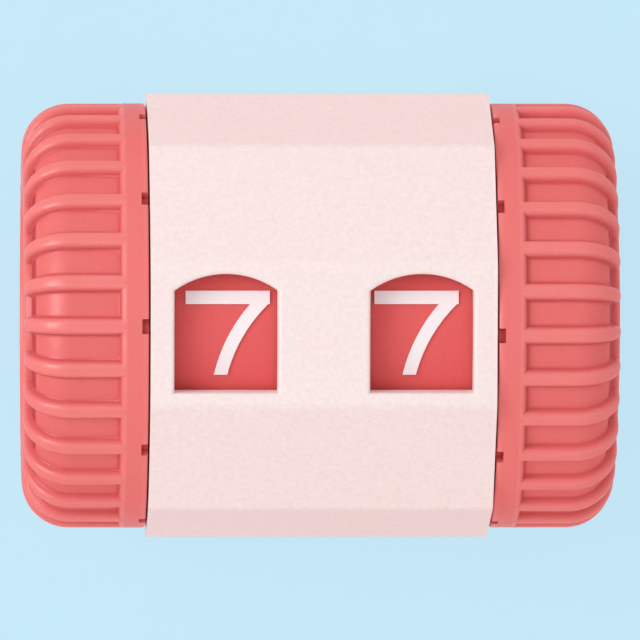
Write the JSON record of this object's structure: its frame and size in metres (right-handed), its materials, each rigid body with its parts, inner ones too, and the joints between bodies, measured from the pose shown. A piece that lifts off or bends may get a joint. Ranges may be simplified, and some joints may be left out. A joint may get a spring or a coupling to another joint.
{
  "type": "knitting row counter",
  "caption": "Barrel-shaped knitting row counter that slides on a needle: a faceted sleeve with arched windows over number drums, turned by ribbed end knobs.",
  "frame": {"origin": "middle of the needle bore, which is also the middle of the box round the part", "axes": "+X along the needle bore towards the right-hand knob as the numerals are read, +Y towards the arched side of the windows and the top of the numerals, +Z out of the flat with the windows; the part rests on the opposite flat"},
  "size_m": [0.0266, 0.02, 0.0192],
  "materials": {
    "casing_plastic": "satin",
    "knob_plastic": "satin",
    "drum_plastic": "satin",
    "numeral_print": "satin",
    "inner_plastic": "satin",
    "washer_plastic": "satin",
    "spring_steel": "satin",
    "brass": "satin"
  },
  "bodies": {
    "casing": {"casing_sleeve": "casing_plastic", "centre_wall": "inner_plastic", "core_tube": "inner_plastic", "click_spring_rivets": "brass", "left_click_spring": "spring_steel", "right_click_spring": "spring_steel", "left_washer": "washer_plastic", "right_washer": "washer_plastic", "left_end_collar": "casing_plastic", "right_end_collar": "casing_plastic"},
    "left_dial": {"left_knob": "knob_plastic", "left_number_drum": "drum_plastic", "left_numerals": "numeral_print", "left_index_disc": "inner_plastic"},
    "right_dial": {"right_knob": "knob_plastic", "right_number_drum": "drum_plastic", "right_numerals": "numeral_print", "right_index_disc": "inner_plastic"}
  },
  "joints": [
    {"name": "left_dial_turn", "type": "hinge", "parent": "casing", "child": "left_dial", "pos_m": [0, 0, 0], "axis": [1, 0, 0], "continuous": true, "deforming": ["left_click_spring"]},
    {"name": "right_dial_turn", "type": "hinge", "parent": "casing", "child": "right_dial", "pos_m": [0, 0, 0], "axis": [1, 0, 0], "continuous": true, "deforming": ["right_click_spring"]}
  ]
}
